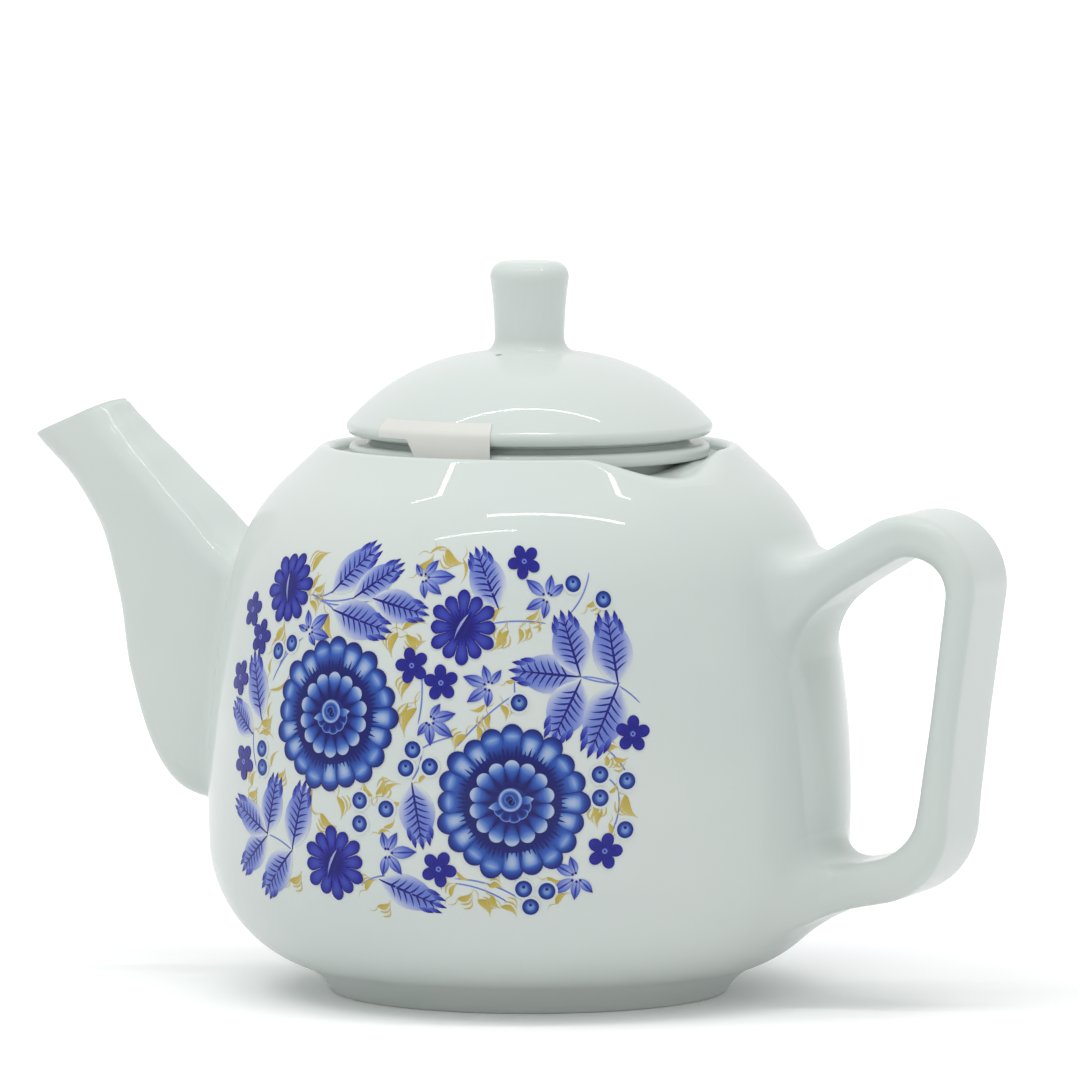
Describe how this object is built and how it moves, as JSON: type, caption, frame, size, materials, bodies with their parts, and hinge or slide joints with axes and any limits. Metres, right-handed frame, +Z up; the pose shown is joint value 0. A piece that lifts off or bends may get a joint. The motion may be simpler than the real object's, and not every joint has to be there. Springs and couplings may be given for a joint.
{
  "type": "teapot",
  "caption": "Round porcelain teapot with a curved spout, strap handle, lift-off domed lid and lift-out strainer basket, decorated with blue folk flowers.",
  "frame": {"origin": "centre of the foot ring, on the table", "axes": "+Z up; the spout points along -X and the handle along +X; the decorated front faces -Y"},
  "size_m": [0.2258, 0.1418, 0.1609],
  "materials": {
    "porcelain": "clear gloss glaze over white porcelain",
    "tape": "white film tape"
  },
  "bodies": {
    "pot": {"pot_body": "porcelain", "spout": "porcelain", "handle": "porcelain"},
    "infuser": {"infuser": "porcelain"},
    "lid": {"lid": "porcelain", "lid_knob": "porcelain", "packing_tape": "tape"}
  },
  "joints": [
    {"name": "infuser_lift", "type": "slide", "parent": "pot", "child": "infuser", "axis": [0, 0, 1], "range_m": [0, 0.08]},
    {"name": "lid_lift", "type": "slide", "parent": "infuser", "child": "lid", "axis": [0, 0, 1], "range_m": [0, 0.05]}
  ]
}
